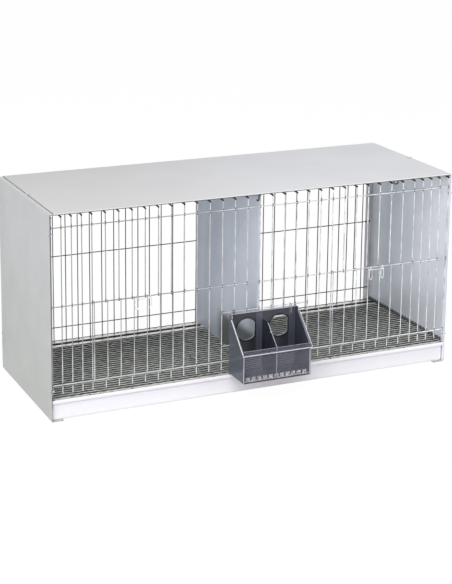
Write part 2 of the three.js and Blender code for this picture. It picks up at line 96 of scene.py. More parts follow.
# Weld beads, as half sizes
FRONT_BEAD = (1.7, 1.7, 1.5)
BACK_BEAD = (1.6, 1.4, 1.4)
DOOR_BEAD = (1.6, 1.5, 1.5)
FLOOR_BEAD = (2.0, 1.4, 1.1)
CLIP_BEAD = (1.25, 1.25, 1.35)
BEAD_OFFSET = 2.3

# Grids
WIDE_GAPS = 13
NARROW_GAPS = 4
NARROW_SHARE = 0.75
MIDDLE = WIDE_GAPS + NARROW_GAPS
LAST = 2 * MIDDLE
END_X = GRID_HIGH[0] - WIRE
SPACING = END_X / (WIDE_GAPS + NARROW_GAPS * NARROW_SHARE)
FRONT_WIRE_Y = 6.0
FRONT_RAIL_Y = 4.0
BACK_WIRE_Y = 370.3
BACK_RAIL_Y = 372.3
UPPER_RAIL = 438.0
MIDDLE_RAIL = 261.0
LOWER_RAIL = 82.0
RAILS = (LOWER_RAIL, MIDDLE_RAIL, UPPER_RAIL)
STUB_BOTTOM = 60.0
HOOK_Z = GRID_HIGH[2] - WIRE
HOOK_BACK = 16.0
HOOK_SINK = 4.2
HOOK_EXTRA = (12, 17)
FEED_FIRST = 14
FEED_LAST = 21
FEED_LOWER = 118.0
FEED_UPPER = 197.5

# Doors
DOOR_GAPS = 7
DOOR_FIRST = {"left": 4, "right": 23}
DOOR_Y = 1.4
DOOR_BAR_Y = -0.3
DOOR_SHIFT = 2.8
DOOR_TOP = 263.0
DOOR_BOTTOM = 84.5
DOOR_OVERHANG = 3.0
DOOR_HOOK = 4.5
LOOP_RADIUS = 2.6
LOOP_TURN = 225
LATCH_OFFSET = 6.0
LATCH_DROP = 31.0
LATCH_HALF = 3.5
LATCH_BAR_DROP = 6.0

# Wire floor
FLOOR_CROSS = 1.1
FLOOR_LONG = 0.9
FLOOR_SHOWN = 1.05
FLOOR_GAPS = 28
FLOOR_TAIL = 1.8
FLOOR_PITCH = 12.7
CRIMP_ACROSS = 0.8
CRIMP_UP = 0.35
CROSS_FIRST = -410.0
CROSS_SPACING = 100.0
CROSS_COUNT = 9
LAST_RAISED = 0.65
# Two long wires near the back take the dark wire: painted shade.
DARK_WIRES = (FLOOR_GAPS - 2, FLOOR_GAPS)
STRIPS_FROM_BACK = ((7.5, 19.0), (33.0, 46.0))
STRIP_RISE = 0.25
STRIP_THICK = 1.5

# Roof and tray
ROOF_THICK = 1.2
HEM_REACH = 12.0
TRAY_CORNER = 6.0
LIP_DEPTH = 5.5
LIP_DROP = 8.0

# Light levels
FLOOR_GLOW = 1.105
FLOOR_GLOW_SHARE = 0.86
FLOOR_PAPER = (0.6, 0.6, 0.6, 1)
SKY_COLOUR = (0.94, 0.97, 1.0, 1)
SKY_LEVEL = 0.44
LAMP_TARGET = (0, 0, 0.2)


def wire_x(index):
    steps = abs(index - MIDDLE)
    wide = min(steps, WIDE_GAPS)
    return math.copysign(SPACING * (wide + (steps - wide) * NARROW_SHARE), index - MIDDLE)


# Mesh helpers
def rounded(points, radius, steps=5, closed=False):
    """The same route with its corners turned into curves."""
    points = [Vector(p) for p in points]
    count = len(points)
    route = []
    for i, point in enumerate(points):
        if not closed and i in (0, count - 1):
            route.append(point)
            continue
        before, after = points[i - 1] - point, points[(i + 1) % count] - point
        start = point + before.normalized() * min(radius, before.length / 2)
        end = point + after.normalized() * min(radius, after.length / 2)
        for k in range(steps + 1):
            t = k / steps
            route.append(start.lerp(point, t).lerp(point.lerp(end, t), t))
    return route


class Wirework:
    """Round wires and weld beads in one mesh. A wire has slot 0 unless it names another, a bead slot 1."""

    def __init__(self):
        self.verts, self.faces, self.slots = [], [], []

    def add_rings(self, rings, closed, slot):
        start, sides = len(self.verts), len(rings[0])
        for ring in rings:
            self.verts.extend(ring)
        last = len(rings) if closed else len(rings) - 1
        for r in range(last):
            a, b = start + r * sides, start + (r + 1) % len(rings) * sides
            for k in range(sides):
                n = (k + 1) % sides
                self.faces.append((a + k, a + n, b + n, b + k))
                self.slots.append(slot)
        if not closed:
            end = start + (len(rings) - 1) * sides
            self.faces.append(tuple(range(start, start + sides))[::-1])
            self.faces.append(tuple(range(end, end + sides)))
            self.slots += [slot, slot]

    def tube(self, points, radius, closed=False, sides=10, slot=0):
        """A round wire along a route, with slightly rounded tips where it isn't closed."""
        points = [Vector(p) for p in points]
        points = [p for i, p in enumerate(points) if i == 0 or (p - points[i - 1]).length > 1e-4]
        if closed and (points[0] - points[-1]).length < 1e-4:
            points.pop()
        count = len(points)
        normal = None
        rings = []
        for i, point in enumerate(points):
            tangent = Vector()
            if closed or i < count - 1:
                tangent += (points[(i + 1) % count] - point).normalized()
            if closed or i > 0:
                tangent += (point - points[i - 1]).normalized()
            tangent.normalize()
            normal = tangent.orthogonal() if normal is None else normal - tangent * normal.dot(tangent)
            normal.normalize()
            side = tangent.cross(normal)
            corners = [2 * math.pi * k / sides for k in range(sides)]
            around = [normal * math.cos(a) + side * math.sin(a) for a in corners]
            if not closed and i == 0:
                rings.append([point + v * radius * TIP_RADIUS for v in around])
                point = point + tangent * radius * TIP_LENGTH
            if not closed and i == count - 1:
                tip = point
                point = point - tangent * radius * TIP_LENGTH
                rings.append([point + v * radius for v in around])
                rings.append([tip + v * radius * TIP_RADIUS for v in around])
                continue
            rings.append([point + v * radius for v in around])
        self.add_rings([[place(*v) for v in ring] for ring in rings], closed, slot)

    def bead(self, centre, size, around=8, levels=5):
        rings = []
        for level in range(levels):
            a = math.pi * (level + 0.5) / levels
            r, h = math.sin(a), math.cos(a)
            rings.append([
                place(centre[0] + size[0] * r * math.cos(b), centre[1] + size[1] * r * math.sin(b),
                      centre[2] + size[2] * h)
                for b in (2 * math.pi * k / around for k in range(around))
            ])
        self.add_rings(rings, False, 1)

    def piece(self, name, body, nodes, materials):
        finished(name, mesh_of(name, [(self.verts, self.faces)]), body, nodes, materials, self.slots)


def added(name, data):
    """A new object in the scene."""
    item = bpy.data.objects.new(name, data)
    bpy.context.scene.collection.objects.link(item)
    return item


def finished(name, mesh, body, nodes, materials, slots=None):
    """Makes a piece from a mesh: outward normals, smooth shading with sharp edges, body and materials."""
    bm = bmesh.new()
    bm.from_mesh(mesh)
    bmesh.ops.recalc_face_normals(bm, faces=bm.faces)
    bm.to_mesh(mesh)
    bm.free()
    if slots:
        mesh.polygons.foreach_set("material_index", slots)
    mesh.shade_smooth()
    mesh.set_sharp_from_angle(angle=math.radians(40))
    piece = added(name, mesh)
    for material, _ in materials:
        mesh.materials.append(material)
    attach(piece, body)
    if nodes:
        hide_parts(*nodes)
    return piece


def prism(outline, x0, x1):
    """Vertices and faces of a closed outline in Y and Z drawn along X."""
    verts = [place(x0, y, z) for y, z in outline] + [place(x1, y, z) for y, z in outline]
    count = len(outline)
    faces = [tuple(range(count))[::-1], tuple(range(count, 2 * count))]
    faces += [(k, (k + 1) % count, count + (k + 1) % count, count + k) for k in range(count)]
    return verts, faces


def arc(cx, cy, radius, start, end, steps):
    return [
        (cx + radius * math.cos(math.radians(start + (end - start) * k / steps)),
         cy + radius * math.sin(math.radians(start + (end - start) * k / steps)))
        for k in range(steps + 1)
    ]


def mesh_of(name, parts):
    """One mesh from several lists of vertices and faces."""
    verts, faces = [], []
    for v, f in parts:
        faces += [tuple(i + len(verts) for i in face) for face in f]
        verts += v
    mesh = bpy.data.meshes.new(name)
    mesh.from_pydata([tuple(v) for v in verts], [], faces)
    return mesh


def detail(name, parts, body, material):
    """A small piece that stands for no node."""
    finished(name, mesh_of(name, parts), body, [], [material])


def softened(name, node, body, materials, width, slot_of=None):
    """A copy of a CAD solid with its edges rounded off, which stands for the node."""
    mesh = frame["nodes"][node].data.copy()
    mesh.materials.clear()
    bm = bmesh.new()
    bm.from_mesh(mesh)
    bmesh.ops.remove_doubles(bm, verts=bm.verts, dist=1e-6)
    bmesh.ops.dissolve_limit(bm, angle_limit=math.radians(1), verts=bm.verts, edges=bm.edges)
    bm.to_mesh(mesh)
    bm.free()
    slots = [slot_of(face.center, face.normal) for face in mesh.polygons] if slot_of else None
    piece = finished(name, mesh, body, [node], materials, slots)
    bevel = piece.modifiers.new("edges", "BEVEL")
    bevel.width, bevel.segments = width * MM, 2
    bevel.limit_method, bevel.angle_limit = "ANGLE", math.radians(35)
    bevel.harden_normals = True


# Materials
def srgb(*levels):
    """A colour's linear values from its three levels of 0 to 255."""
    linear = [c / 255 / 12.92 if c < 11 else ((c / 255 + 0.055) / 1.055) ** 2.4 for c in levels]
    return (*linear, 1.0)


class Look:
    """A node material built from the object's own coordinates."""

    def __init__(self, name, **sockets):
        self.material = bpy.data.materials.new(name)
        self.material.use_nodes = True
        self.tree = self.material.node_tree
        self.tree.nodes.clear()
        self.shader = self.node("ShaderNodeBsdfPrincipled")
        output = self.node("ShaderNodeOutputMaterial")
        self.link(self.shader.outputs["BSDF"], output.inputs["Surface"])
        self.coords = self.node("ShaderNodeTexCoord").outputs["Object"]
        for socket, value in sockets.items():
            self.shader.inputs[socket.replace("_", " ")].default_value = value

    def node(self, kind, **settings):
        node = self.tree.nodes.new(kind)
        for key, value in settings.items():
            setattr(node, key, value)
        return node

    def link(self, source, target):
        self.tree.links.new(source, target)

    def stretched(self, stretch):
        mapping = self.node("ShaderNodeMapping")
        mapping.inputs["Scale"].default_value = stretch
        self.link(self.coords, mapping.inputs["Vector"])
        return mapping.outputs["Vector"]

    def noise(self, scale, detail, stretch=(1, 1, 1)):
        noise = self.node("ShaderNodeTexNoise")
        noise.inputs["Scale"].default_value = scale
        noise.inputs["Detail"].default_value = detail
        self.link(self.stretched(stretch), noise.inputs["Vector"])
        return noise.outputs["Fac"]

    def cells(self, scale, stretch):
        cells = self.node("ShaderNodeTexVoronoi")
        cells.inputs["Scale"].default_value = scale
        self.link(self.stretched(stretch), cells.inputs["Vector"])
        separate = self.node("ShaderNodeSeparateColor")
        self.link(cells.outputs["Color"], separate.inputs["Color"])
        return separate.outputs["Red"]

    def ranged(self, value, low, high, to_low=0.0, to_high=1.0):
        node = self.node("ShaderNodeMapRange", interpolation_type="SMOOTHSTEP")
        limits = {"From Min": low, "From Max": high, "To Min": to_low, "To Max": to_high}
        for socket, number in limits.items():
            node.inputs[socket].default_value = number
        self.link(value, node.inputs["Value"])
        return node.outputs["Result"]

    def position(self, axis):
        separate = self.node("ShaderNodeSeparateXYZ")
        self.link(self.coords, separate.inputs["Vector"])
        return separate.outputs[axis]

    def along(self, axis, start, end):
        """0 to 1 between two places along an axis, in metres of the model."""
        return self.ranged(self.position(axis), start, end)

    def facing(self, axis, low, high):
        """0 to 1 as the surface's normal turns along an axis."""
        separate = self.node("ShaderNodeSeparateXYZ")
        turn = self.node("ShaderNodeTexCoord")
        self.link(turn.outputs["Normal"], separate.inputs["Vector"])
        return self.ranged(separate.outputs[axis], low, high)

    def maths(self, operation, a, b=0.0):
        node = self.node("ShaderNodeMath", operation=operation)
        for socket, value in zip(node.inputs, (a, b)):
            if isinstance(value, (int, float)):
                socket.default_value = value
            else:
                self.link(value, socket)
        return node.outputs["Value"]

    def mix(self, factor, a, b):
        node = self.node("ShaderNodeMix", data_type="RGBA")
        for socket, value in ((node.inputs[0], factor), (node.inputs[6], a), (node.inputs[7], b)):
            if hasattr(value, "is_linked"):
                self.link(value, socket)
            else:
                socket.default_value = value
        return node.outputs[2]

    def tinted(self, ground, mask, tint, share):
        """The ground with a share of a tint where the mask is 1."""
        return self.mix(self.maths("MULTIPLY", mask, share), ground, tint)

    def colour(self, value):
        self.link(value, self.shader.inputs["Base Color"])

    def rough(self, scale, detail, low, high, start=0.3, end=0.7):
        """Roughness that wanders between two values."""
        value = self.ranged(self.noise(scale, detail), start, end, low, high)
        self.link(value, self.shader.inputs["Roughness"])

    def bump(self, height, depth, strength):
        node = self.node("ShaderNodeBump")
        node.inputs["Distance"].default_value = depth * MM
        node.inputs["Strength"].default_value = strength
        if self.shader.inputs["Normal"].is_linked:
            self.link(self.shader.inputs["Normal"].links[0].from_socket, node.inputs["Normal"])
        self.link(height, node.inputs["Height"])
        self.link(node.outputs["Normal"], self.shader.inputs["Normal"])

    def grain(self, scale, detail, depth, strength):
        """Bumps of a noise, as deep as depth in millimetres."""
        self.bump(self.noise(scale, detail), depth, strength)


def roof_look():
    """Warm pale grey coating, cooler and paler to the right with painted light, with a fine orange-peel grain
    and faint scuffs.
    """
    look = Look("roof_coating", Metallic=0.0, Coat_Weight=0.15, Coat_Roughness=0.35)
    # Painted light: the coating turns paler and cooler towards the right.
    warm, cool = srgb(209, 208, 208), srgb(233, 233, 238)
    ground = look.mix(look.along("X", -0.45, 0.35), warm, cool)
    cloud = look.ranged(look.noise(2.2, 4.0), 0.35, 0.7)
    ground = look.tinted(ground, cloud, srgb(209, 208, 210), 0.35)
    scuff = look.ranged(look.noise(26, 6.0, (0.4, 1.6, 1)), 0.62, 0.8)
    ground = look.tinted(ground, scuff, srgb(196, 195, 196), 0.18)
    look.colour(ground)
    look.rough(9, 4.0, 0.42, 0.58)
    look.grain(900, 2.0, 0.02, 0.25)
    look.grain(3, 1.0, 1.2, 0.12)
    return look.material, "roof"


def hem_look():
    """The folded raw edge under the roof's front: dull yellowish zinc."""
    look = Look("roof_hem", Metallic=0.3)
    look.colour(look.mix(look.noise(60, 4.0), srgb(150, 148, 134), srgb(184, 181, 168)))
    look.rough(80, 3.0, 0.4, 0.6)
    look.grain(500, 2.0, 0.03, 0.3)
    return look.material, "roof"


def panel_outside_look():
    """Side panel's outside: neutral coated sheet, warmer at the foot, with fine specks and clouds."""
    look = Look("panel_coating", Metallic=0.1)
    ground = look.mix(look.along("Z", 0.0, 0.40), srgb(177, 178, 175), srgb(185, 186, 187))
    ground = look.mix(look.ranged(look.noise(3.1, 4.0), 0.3, 0.72, 0.0, 0.35), ground, srgb(176, 180, 178))
    ground = look.mix(look.ranged(look.noise(240, 3.0), 0.62, 0.8, 0.0, 0.25), ground, srgb(166, 168, 168))
    look.colour(ground)
    look.rough(12, 4.0, 0.38, 0.52)
    look.grain(800, 2.0, 0.02, 0.2)
    look.grain(4, 1.0, 1.5, 0.12)
    return look.material, "side_panel"


def galvanised_look(name, slot, dark, light, spangle, pale, foot, metallic, painted_shade=None, back=None):
    """Galvanised sheet: soft upright bands of painted reflection and shade, a faint spangle, paler to the
    front with painted light, another tone at its foot.

    pale and foot are a tone and its share. A painted shade darkens the foot of its front part. A back tone of
    painted light lightens its back part, and with it comes a painted shade below the wire floor's height,
    with a wavy top edge.
    """
    look = Look(name, Metallic=metallic)
    # Upright bands of painted reflection and shade.
    ground = look.mix(look.ranged(look.noise(12, 3.0, (1, 2.3, 0.14)), 0.3, 0.72), dark, light)
    ground = look.tinted(ground, look.cells(115, (1, 1, 0.8)), spangle, 0.22)
    # Paler to the front: painted light.
    ground = look.tinted(ground, look.along("Y", 0.16, -0.12), *pale)
    ground = look.tinted(ground, look.along("Z", 0.17, 0.05), *foot)
    # Painted shade at the foot of the front part.
    if painted_shade:
        reach = look.maths("MULTIPLY", look.along("Z", 0.140, 0.112), look.along("Y", 0.10, 0.05))
        ground = look.mix(reach, ground, painted_shade)
    # Painted light towards the back, and a painted shade below the wire floor's height.
    if back:
        ground = look.tinted(ground, look.along("Y", 0.15, 0.225), back, 0.8)
        turn = look.maths("MULTIPLY", look.position("Y"), 2 * math.pi / (FLOOR_PITCH * MM))
        wave = look.maths("SINE", turn)
        height = look.maths("ADD", look.position("Z"), look.maths("MULTIPLY", wave, 0.0016))
        behind_front = look.along("Y", FRONT + 0.01, FRONT + 0.02)
        # Painted shade below the wire floor's height, its top edge waving with the floor's pitch.
        below_floor_shade = look.maths("MULTIPLY", look.ranged(height, 0.0585, 0.0555), behind_front)
        ground = look.tinted(ground, below_floor_shade, srgb(60, 62, 66), 0.85)
    look.colour(ground)
    look.rough(14, 4.0, 0.36, 0.5)
    look.grain(700, 2.0, 0.02, 0.22)
    look.grain(4, 1.0, 1.4, 0.12)
    return look.material, slot


def panel_edge_look():
    """Front edge of a side panel: darker at the left with painted shade, darkest beside the tray there, and
    paler at the right with painted light.
    """
    look = Look("panel_edge", Metallic=0.2)
    # Darker at the left with painted shade, darkest beside the tray.
    left = look.mix(look.noise(90, 4.0), srgb(84, 85, 91), srgb(118, 119, 127))
    left = look.mix(look.along("Z", 0.062, 0.056), left, srgb(60, 60, 58))
    left = look.mix(look.along("Z", 0.034, 0.028), left, srgb(150, 150, 141))
    # Paler at the right: painted light.
    right = look.mix(look.noise(90, 4.0), srgb(184, 186, 196), srgb(208, 209, 220))
    look.colour(look.mix(look.along("X", -0.2, 0.2), left, right))
    look.rough(60, 3.0, 0.4, 0.6)
    look.grain(600, 2.0, 0.03, 0.3)
    return look.material, "side_panel"


def foot_look():
    """Foot flange: dull olive zinc with scrapes from sliding the cage about; its top is paler with painted
    light and its edges darker with painted shade.
    """
    look = Look("panel_foot", Metallic=0.3)
    # Painted shade on the edges and painted light on the top, chosen by which way each face turns.
    edge = look.mix(look.noise(70, 4.0), srgb(64, 63, 57), srgb(88, 87, 80))
    top = look.mix(look.noise(70, 4.0), srgb(188, 187, 180), srgb(214, 212, 206))
    ground = look.mix(look.facing("Z", 0.3, 0.7), edge, top)
    scrape = look.ranged(look.noise(55, 5.0, (2.0, 0.25, 1)), 0.6, 0.75)
    look.colour(look.tinted(ground, scrape, srgb(166, 166, 156), 0.5))
    look.rough(60, 3.0, 0.42, 0.62)
    look.grain(500, 2.0, 0.04, 0.35)
    return look.material, "side_panel"


def wire_look(name, slot, dark, light, dirt, metallic, low=0.22, high=0.42, left=None, foot=None,
              dirt_share=0.6):
    """Drawn wire: streaks, dull patches and pits, with other tones to the left and at its foot if given."""
    look = Look(name, Metallic=metallic)
    ground = look.mix(look.ranged(look.noise(70, 4.0, (1, 1, 0.6)), 0.35, 0.65), dark, light)
    if left:
        ground = look.mix(look.along("X", 0.12, -0.4), ground, left)
    if foot:
        ground = look.tinted(ground, look.along("Z", 0.17, 0.12), foot, 0.7)
    patch = look.ranged(look.noise(38, 5.0), 0.52, 0.72)
    ground = look.tinted(ground, patch, dirt, dirt_share)
    look.colour(ground)
    look.rough(120, 3.0, low, high)
    look.grain(1400, 2.0, 0.04, 0.35)
    return look.material, slot


def tray_look():
    """White moulded plastic: greyer to the left, with a lavender painted shade under the lip."""
    look = Look("tray_plastic", IOR=1.46)
    ground = look.mix(look.ranged(look.noise(5, 4.0), 0.3, 0.7), srgb(250, 247, 250), srgb(246, 243, 247))
    ground = look.tinted(ground, look.along("X", 0.1, -0.5), srgb(238, 235, 239), 0.8)
    low, high = (TRAY_LOW[2] + 2) * MM, (TRAY_HIGH[2] - LIP_DROP) * MM
    # Painted shade: a lavender cast just under the lip, fading towards the bottom.
    below_lip = look.along("Z", high + 0.0006, high - 0.0006)
    shade = look.maths("MULTIPLY", look.along("Z", low, high), below_lip)
    ground = look.tinted(ground, shade, srgb(225, 224, 232), 0.8)
    rub = look.ranged(look.noise(60, 5.0, (0.3, 1, 1)), 0.62, 0.8)
    ground = look.tinted(ground, rub, srgb(230, 228, 233), 0.18)
    look.colour(ground)
    look.rough(20, 3.0, 0.34, 0.46)
    look.grain(900, 2.0, 0.02, 0.3)
    return look.material, "tray"


def tray_inside_look():
    """The tray's inside: grey-green painted shade over the white plastic under the wire floor, darker in
    patches.
    """
    look = Look("tray_inside", IOR=1.46)
    ground = look.mix(look.ranged(look.noise(7, 5.0), 0.3, 0.7), srgb(84, 87, 84), srgb(104, 107, 104))
    speck = look.ranged(look.noise(300, 4.0), 0.58, 0.7)
    ground = look.tinted(ground, speck, srgb(60, 62, 54), 0.5)
    look.colour(ground)
    look.rough(30, 3.0, 0.5, 0.7)
    look.grain(500, 4.0, 0.05, 0.4)
    return look.material, "tray"


def smoke_look(name, dark, light, alpha=1.0):
    """Smoke-tinted plastic sheet: faint flow marks, rubbed patches and fine scratches."""
    look = Look(name, IOR=1.49, Alpha=alpha, Specular_IOR_Level=0.3)
    ground = look.mix(look.ranged(look.noise(18, 4.0, (1, 1, 0.5)), 0.3, 0.7), dark, light)
    rub = look.ranged(look.noise(75, 5.0, (0.4, 1, 1.6)), 0.6, 0.78)
    worn = (*(min(c * 1.6, 1.0) for c in light[:3]), 1.0)
    ground = look.tinted(ground, rub, worn, 0.25)
    look.colour(ground)
    look.rough(40, 4.0, 0.12, 0.24, 0.35, 0.75)
    look.bump(look.noise(120, 2.0, (1, 1, 0.3)), 0.05, 0.15)
    return look.material, "feeder_smoke"


def edge_look(name, dark, light):
    """Pale copy of the smoke plastic for its edges: painted highlights where they catch the light."""
    look = Look(name, IOR=1.49)
    look.colour(look.mix(look.noise(70, 3.0), dark, light))
    look.rough(90, 3.0, 0.18, 0.3)
    look.grain(400, 2.0, 0.03, 0.3)
    return look.material, "feeder_smoke"


def comb_look():
    """Pale frosted ribs with a coarse moulded grain."""
    look = Look("comb_plastic", IOR=1.49)
    tooth = look.ranged(look.noise(320, 3.0), 0.38, 0.62)
    look.colour(look.mix(tooth, srgb(132, 131, 134), srgb(238, 234, 230)))
    look.rough(90, 3.0, 0.2, 0.4)
    look.grain(350, 3.0, 0.15, 0.6)
    return look.material, "feeder_comb"


# Each is a pair of a material and its slot
ROOF = roof_look()
HEM = hem_look()
LEDGE = (ROOF[0], "side_panel")
OUTSIDE = panel_outside_look()
# Inside of the panels: painted light paler to the front and at the back, and painted shade below the wire
# floor's height.
INSIDE = galvanised_look("panel_inside", "side_panel", srgb(206, 214, 224), srgb(219, 226, 236),
                         srgb(226, 232, 241), pale=(srgb(244, 247, 255), 0.95),
                         foot=(srgb(236, 241, 248), 0.5), metallic=0.3, back=srgb(250, 252, 255))
# Painted light: a near-white copy of the galvanised sheet for the back flanges.
FLANGE = galvanised_look("panel_flange", "side_panel", srgb(246, 247, 250), srgb(252, 252, 254),
                         srgb(254, 254, 255), pale=(srgb(250, 250, 253), 0.5),
                         foot=(srgb(246, 247, 250), 0.3), metallic=0.0)
PANEL_EDGE = panel_edge_look()
FOOT = foot_look()
# The divider: painted light paler to the front, and painted shade at its foot and low at its front.
DIVIDER = galvanised_look("galvanised_sheet", "divider", srgb(189, 198, 210), srgb(198, 207, 219),
                          srgb(206, 214, 226), pale=(srgb(208, 215, 227), 0.6),
                          foot=(srgb(168, 175, 180), 0.5), metallic=0.15, painted_shade=srgb(98, 105, 104))
FRONT_WIRE = wire_look("front_wire", "wire", srgb(192, 192, 196), srgb(236, 236, 240), srgb(140, 138, 136),
                       0.45, 0.3, 0.45, srgb(158, 157, 160), srgb(232, 232, 234), dirt_share=0.35)
# The back grid's wire is a darker copy of the front grid's wire: painted shade.
BACK_WIRE = wire_look("back_wire", "wire", srgb(44, 46, 48), srgb(82, 84, 86), srgb(34, 36, 36), 0.3, 0.4,
                      0.6, left=srgb(132, 132, 134))
WELD = wire_look("weld", "wire", srgb(56, 54, 50), srgb(112, 108, 102), srgb(38, 36, 34), 0.3, 0.4, 0.6)
# Painted shade: the dark copy of the wire for the bends under the roof's hem.
WIRE_END = wire_look("wire_end", "wire", srgb(34, 33, 31), srgb(70, 68, 63), srgb(24, 24, 22), 0.3, 0.45,
                     0.65)
CLIP = wire_look("clip_wire", "clip", srgb(222, 222, 226), srgb(248, 248, 252), srgb(170, 168, 166), 0.5)
DARK_CLIP = wire_look("dark_clip_wire", "clip", srgb(26, 26, 26), srgb(54, 54, 52), srgb(20, 20, 20), 0.3,
                      0.4, 0.6)
# Painted shadow: dark lines along the roof's ends and under its front hem.
ROOF_SHADOW_LINE = wire_look("roof_shadow_line", "roof", srgb(50, 50, 50), srgb(84, 84, 82), srgb(40, 40, 38), 0.2, 0.5, 0.7)
HOOK_CLIP = wire_look("hook_clip_wire", "clip", srgb(100, 101, 108), srgb(168, 168, 178), srgb(78, 78, 82),
                      0.6)
FLOOR_WIRE = wire_look("floor_wire", "floor_wire", srgb(178, 180, 174), srgb(222, 223, 217),
                       srgb(132, 132, 124), 0.25, 0.3, 0.5)
FLOOR_STRIP = wire_look("floor_strip", "floor_wire", srgb(232, 230, 228), srgb(250, 248, 247),
                        srgb(168, 162, 156), 0.95, 0.14, 0.3)
# Dark wire for the floor's welds and cross wires, and painted shade on two long wires near the back.
FLOOR_WELD_AND_SHADE = wire_look("floor_weld_and_shade", "floor_wire", srgb(30, 32, 28), srgb(62, 64, 56), srgb(22, 24, 20), 0.2,
                       0.5, 0.7)
TRAY = tray_look()
TRAY_INSIDE = tray_inside_look()
# Copies of one smoke plastic: the side copy is paler with painted light, the front copy's paleness is partly
# painted sheen over its own tint, and the dark copy on the partition and the hole rims is painted shade.
SMOKE = smoke_look("smoke_plastic", srgb(54, 56, 65), srgb(64, 66, 76))
SMOKE_SIDE = smoke_look("smoke_plastic_side", srgb(84, 88, 97), srgb(94, 98, 107), 0.93)
SMOKE_FRONT = smoke_look("smoke_plastic_front", srgb(132, 133, 146), srgb(152, 153, 166), 0.17)
SMOKE_STRIP = smoke_look("smoke_plastic_strip", srgb(76, 79, 90), srgb(86, 89, 100))
SMOKE_DARK = smoke_look("smoke_plastic_dark", srgb(34, 36, 43), srgb(42, 44, 52))
SMOKE_RIBS = smoke_look("smoke_plastic_ribs", srgb(112, 115, 125), srgb(140, 143, 152))
# Pale copies for the ridge, edges, corners and top rim: painted highlights.
RIDGE = edge_look("feeder_ridge", srgb(96, 96, 112), srgb(124, 124, 142))
EDGE = edge_look("feeder_edge", srgb(226, 223, 226), srgb(248, 246, 246))
CORNER = edge_look("feeder_corner", srgb(170, 172, 190), srgb(204, 205, 220))
TOP_RIM = edge_look("feeder_top_rim", srgb(150, 147, 160), srgb(184, 181, 192))
COMB = comb_look()


# Grids
def bowed(x, y, low, high, most=0.35):
    """An upright wire that leans a hair out of true between its ends."""
    bow, lean = chance.uniform(-most, most), chance.uniform(-most, most)
    steps = 8
    return [
        (x + bow * math.sin(math.pi * k / steps), y + lean * 0.3 * math.sin(math.pi * k / steps),
         low + (high - low) * k / steps)
        for k in range(steps + 1)
    ]


def hooked(work, x, low):
    """An upright wire whose top end bends back under the roof. The bend is darker with painted shade and a
    little thicker.

    The middle wire's bend is shorter and higher than the others, which stay clear of the panels' ledges.
    """
    top = HOOK_Z - (0 if x == 0 else HOOK_SINK)
    upright = bowed(x, FRONT_WIRE_Y, low, top - 2)
    work.tube(upright, WIRE)
    back = HOOK_BACK if x == 0 else HOOK_BACK + chance.uniform(*HOOK_EXTRA)
    bend = rounded([(x, FRONT_WIRE_Y, top - 2.4), (x, FRONT_WIRE_Y, top), (x, back, top + 0.4)], 1.6)
    # The bend takes the dark wire: painted shade under the roof's hem.
    work.tube(bend, WIRE_END_RADIUS, slot=2)


def rail(work, x0, x1, y, z, radius=WIRE, wave=0.15):
    """A level wire that is a hair out of true along its length."""
    steps = 24
    points = [(x0 + (x1 - x0) * k / steps, y, z + wave * math.sin(k * 1.9 + z)) for k in range(steps + 1)]
    work.tube(points, radius)


def front_grid():
    work = Wirework()
    weld_y = (FRONT_WIRE_Y + FRONT_RAIL_Y) / 2
    for index in range(LAST + 1):
        x = wire_x(index)
        in_door = any(first < index < first + DOOR_GAPS for first in DOOR_FIRST.values())
        in_feed = FEED_FIRST < index < FEED_LAST
        heights = [UPPER_RAIL, MIDDLE_RAIL, LOWER_RAIL]
        if in_door:
            work.tube(bowed(x, FRONT_WIRE_Y, STUB_BOTTOM, LOWER_RAIL + TAIL, 0.1), WIRE)
            hooked(work, x, MIDDLE_RAIL - TAIL)
        elif in_feed:
            work.tube(bowed(x, FRONT_WIRE_Y, STUB_BOTTOM, FEED_LOWER + TAIL, 0.1), WIRE)
            hooked(work, x, FEED_UPPER - TAIL)
        else:
            hooked(work, x, STUB_BOTTOM)
        if FEED_FIRST <= index <= FEED_LAST:
            heights += [FEED_LOWER, FEED_UPPER]
        for z in heights:
            for side in (-1, 1):
                offset = side * (BEAD_OFFSET + chance.uniform(-0.3, 0.3))
                work.bead((x, weld_y + 0.1, z + offset), FRONT_BEAD)
    for z, radius in ((LOWER_RAIL, 1.4), (MIDDLE_RAIL, WIRE), (UPPER_RAIL, WIRE)):
        rail(work, GRID_LOW[0], GRID_HIGH[0], FRONT_RAIL_Y, z, radius)
    for z in (FEED_LOWER, FEED_UPPER):
        rail(work, wire_x(FEED_FIRST) - TAIL, wire_x(FEED_LAST) + TAIL, FRONT_RAIL_Y, z)
    work.piece("front_grid_wires", "body", ["front_grid"], [FRONT_WIRE, WELD, WIRE_END])


def back_grid():
    work = Wirework()
    for index in range(LAST + 1):
        x = wire_x(index)
        # The back wires take the darker copy with its painted shade; the last one keeps the front grid's
        # paler wire.
        work.tube(bowed(x, BACK_WIRE_Y, BACK_LOW[2], BACK_HIGH[2], 0.8), WIRE, slot=2 if index == LAST else 0)
        for z in RAILS:
            work.bead((x, (BACK_WIRE_Y + BACK_RAIL_Y) / 2, z), BACK_BEAD)
    for z in RAILS:
        rail(work, BACK_LOW[0], BACK_HIGH[0], BACK_RAIL_Y, z)
    work.piece("back_grid_wires", "body", ["back_grid"], [BACK_WIRE, WELD, FRONT_WIRE])


# Doors and latches
def door_x(first, k):
    return wire_x(first + k) + (DOOR_SHIFT if k < DOOR_GAPS else -DOOR_SHIFT)


